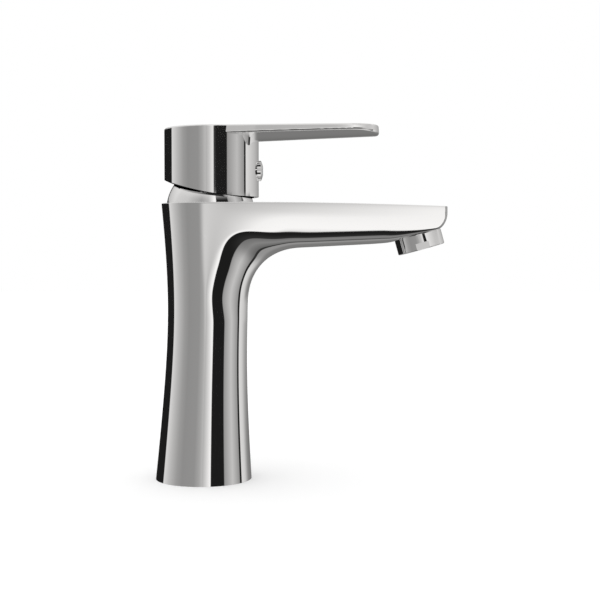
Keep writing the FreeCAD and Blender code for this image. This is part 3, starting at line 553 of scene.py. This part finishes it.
def casting():
    halves, first = casting_halves()
    rows = np.array(halves)
    rows[:first + 1, -1, 1] = 0.0
    rims = rim_rows(rows, first)
    skin = Skin()
    skin.mirrored(rows)
    skin.mirrored(np.concatenate([rows[first:, -1:], rims], axis=1))
    # top face: rungs from one side to the other
    inner = rims[:, -1]
    across = np.linspace(1, -1, RUNGS)
    top = np.stack([np.column_stack([inner[:, 0], inner[:, 1] * a, inner[:, 2]]) for a in across], axis=1)
    skin.grid(top)
    # face of the tip
    outline = np.concatenate([rows[-1], rims[-1]])
    widths = [outline[:, 1] * a for a in across]
    tip = np.stack([np.column_stack([tip_x(y), y, outline[:, 2]]) for y in widths], axis=1)
    skin.grid(tip, True)
    return skin


def tip_x(y):
    return TIP_X - TIP_ARC + np.sqrt(TIP_ARC ** 2 - y * y)


def mesh_object(name, points, faces, slot):
    """Object from points in millimetres, smooth except across sharp edges."""
    mesh = bpy.data.meshes.new(name)
    mesh.from_pydata([tuple(c * MM for c in p) for p in points], [], faces)
    bm = bmesh.new()
    bm.from_mesh(mesh)
    bmesh.ops.remove_doubles(bm, verts=bm.verts, dist=MERGE)
    bmesh.ops.dissolve_degenerate(bm, edges=bm.edges, dist=DEGENERATE)
    bm.to_mesh(mesh)
    bm.free()
    mesh.shade_smooth()
    mesh.set_sharp_from_angle(angle=math.radians(SHARP))
    made = bpy.data.objects.new(name, mesh)
    bpy.context.scene.collection.objects.link(made)
    mesh.materials.append(materials[slot])
    return made


def inner_faces(node, skin):
    """Faces of the CAD node well inside this skin or across it: bores, passages, collar and base."""
    tree = BVHTree.FromPolygons([tuple(c * MM for c in p) for p in skin.points], skin.faces)
    mesh = nodes[node].data
    points = [tuple(v.co / MM) for v in mesh.vertices]
    kept = []
    for polygon in mesh.polygons:
        _, normal, _, distance = tree.find_nearest(polygon.center)
        on_skin = distance < WALL_MM * MM and abs(normal.dot(polygon.normal)) > ALONG
        level = all(abs(points[k][2] - top_height(points[k][0])) < ON_SURFACE for k in polygon.vertices)
        if not on_skin and not level:
            kept.append(tuple(polygon.vertices))
    return points, kept


def in_seat_hole(point):
    """True for points of the skin inside the aerator's hole."""
    dx, dz = point[0] - AERATOR_X, point[2] - AERATOR_Z
    c, s = math.cos(SEAT_TILT), math.sin(SEAT_TILT)
    along, off = dx * c + dz * s, dz * c - dx * s
    return math.hypot(along, point[1]) < SEAT_HOLE and abs(off) < SEAT_HOLE_DEPTH


def in_chamber(point):
    """True for points of the top face inside the collar round the cartridge."""
    off = math.hypot(point[0] - COLLAR_X, point[1])
    return point[2] > TOP_Z - RIM / 2 and off < COLLAR_R - COLLAR_WALL


def build_casting():
    skin = casting()
    inner, faces = inner_faces("body", skin)
    outside = [face for face in skin.faces if not all(in_seat_hole(skin.points[k]) for k in face)]
    outside = [face for face in outside if not all(in_chamber(skin.points[k]) for k in face)]
    count = len(skin.points)
    faces = outside + [tuple(k + count for k in face) for face in faces]
    low, high = (np.array(corner) / MM for corner in cad_box)
    points = np.clip(np.array(skin.points + inner), low, high)
    piece = mesh_object("casting", points, faces, "chrome_plate")
    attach(piece, "tap")
    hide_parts("body")


# ---------------------------------------------------------------- polished pieces

CAP_BACK, CAP_WIDEST, CAP_FRONT, CAP_HALF_WIDTH = -20.2, 2.2, 29.45, 24.0
DOME_CENTRE, DOME_R = (3.8, 0.0, 142.7), 23.0
AERATOR_R = 12.5
FACING = 0.85  # a face turned further from the exact direction than this keeps its own normal


def cap_normal(x, y, z):
    """Direction out of the cap's wall at a point of it, and the point's distance from the wall."""
    reach = CAP_FRONT - CAP_WIDEST if x > CAP_WIDEST else CAP_WIDEST - CAP_BACK
    a, b = (x - CAP_WIDEST) / reach, y / CAP_HALF_WIDTH
    return (a / reach, b / CAP_HALF_WIDTH, 0.0), (math.hypot(a, b) - 1) * CAP_HALF_WIDTH


def dome_normal(x, y, z):
    out = (x - DOME_CENTRE[0], y, z - DOME_CENTRE[2])
    return out, math.hypot(*out) - DOME_R


def aerator_normal(x, y, z):
    c, s = math.cos(SEAT_TILT), math.sin(SEAT_TILT)
    along = (x - AERATOR_X) * c + (z - AERATOR_Z) * s
    return (along * c, y, along * s), math.hypot(along, y) - AERATOR_R


def polished(node, body, name, normal_at):
    """The CAD node's mesh with exact normals on the one surface that normal_at describes."""
    source = nodes[node].data
    mesh = source.copy()
    normals = [tuple(corner.vector) for corner in source.corner_normals]
    exact = {}
    for vertex in mesh.vertices:
        out, off = normal_at(*(vertex.co / MM))
        if abs(off) < ON_SURFACE:
            length = math.hypot(*out)
            exact[vertex.index] = tuple(c / length for c in out)
    for polygon in mesh.polygons:
        if all(k in exact for k in polygon.vertices):
            for corner, k in zip(polygon.loop_indices, polygon.vertices):
                if sum(a * b for a, b in zip(exact[k], polygon.normal)) > FACING:
                    normals[corner] = exact[k]
    mesh.normals_split_custom_set(normals)
    piece = bpy.data.objects.new(name, mesh)
    bpy.context.scene.collection.objects.link(piece)
    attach(piece, body)
    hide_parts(node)


build_camera()
build_world()
build_floor()
materials = {slot: principled(slot, build) for slot, build in FINISHES.items()}
dress_nodes(materials)
build_casting()
polished("handle", "lever", "handle_polished", cap_normal)
polished("dome_cover", "tap", "dome_polished", dome_normal)
polished("aerator_housing", "tap", "aerator_polished", aerator_normal)
